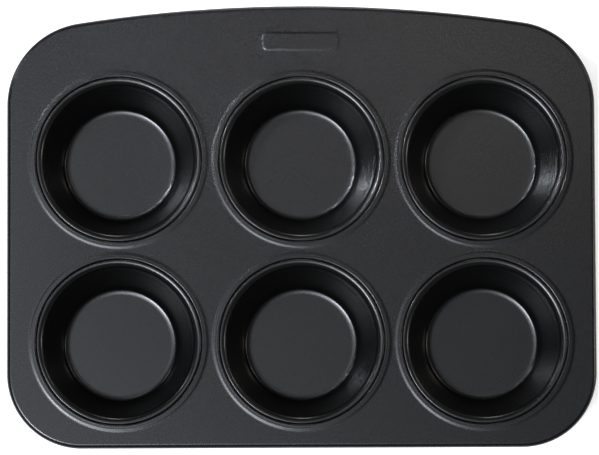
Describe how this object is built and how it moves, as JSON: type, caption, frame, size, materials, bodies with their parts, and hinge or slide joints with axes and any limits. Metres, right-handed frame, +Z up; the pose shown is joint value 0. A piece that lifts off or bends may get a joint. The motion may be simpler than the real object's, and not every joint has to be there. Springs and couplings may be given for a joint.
{
  "type": "muffin pan",
  "caption": "Rectangular muffin pan: a flat coated steel plate with round corners, a rolled edge and a bowed back edge, carrying round tapered cups seamed into its holes.",
  "frame": {"origin": "on the surface that the pan stands on, under the middle of its plate", "axes": "+X along the row of three cups, to the right; +Y towards the bowed back edge; +Z up out of the cups"},
  "size_m": [0.26, 0.1958, 0.0306],
  "materials": {
    "plate_coating": "satin dark grey non-stick coating over steel sheet",
    "cup_coating": "semi-gloss dark grey non-stick coating over drawn steel",
    "rim_wire_steel": "drawn bare steel wire"
  },
  "bodies": {
    "root": {"top_plate": "plate_coating", "rim_wire": "rim_wire_steel", "cup_front_left": "cup_coating", "cup_front_middle": "cup_coating", "cup_front_right": "cup_coating", "cup_back_left": "cup_coating", "cup_back_middle": "cup_coating", "cup_back_right": "cup_coating"}
  },
  "joints": []
}
